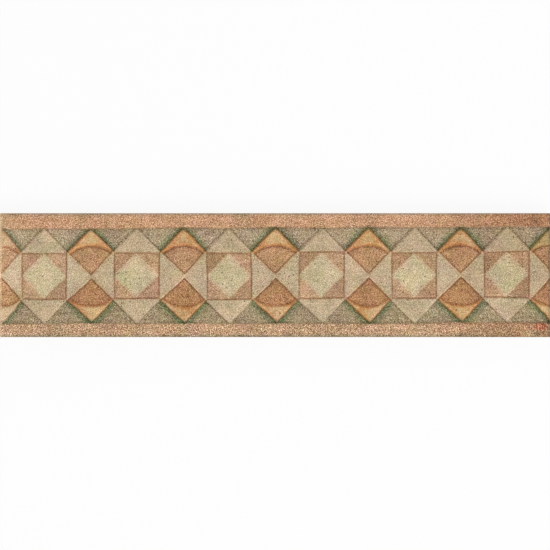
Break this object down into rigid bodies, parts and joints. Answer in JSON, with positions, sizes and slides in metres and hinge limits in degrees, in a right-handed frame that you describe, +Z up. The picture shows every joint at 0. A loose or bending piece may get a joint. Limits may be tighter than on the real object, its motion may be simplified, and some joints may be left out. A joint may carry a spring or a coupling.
{
  "type": "border tile",
  "caption": "Narrow ceramic border tile with raised rails and a pressed relief of faceted squares and arc-cut lozenges, laid end to end as a decorative band.",
  "frame": {"origin": "middle of the tile's back, on the plane that it is bedded on", "axes": "+X along the tile, towards the next tile of a run, +Y across it, +Z up out of the glazed face"},
  "size_m": [0.2, 0.045, 0.0095],
  "materials": {
    "glazed_clay": "matt glazes in cream, salmon, ochre and grey-green on a pale fired clay, bare on the sides and back"
  },
  "bodies": {
    "root": {"border_tile": "glazed_clay"}
  },
  "joints": []
}
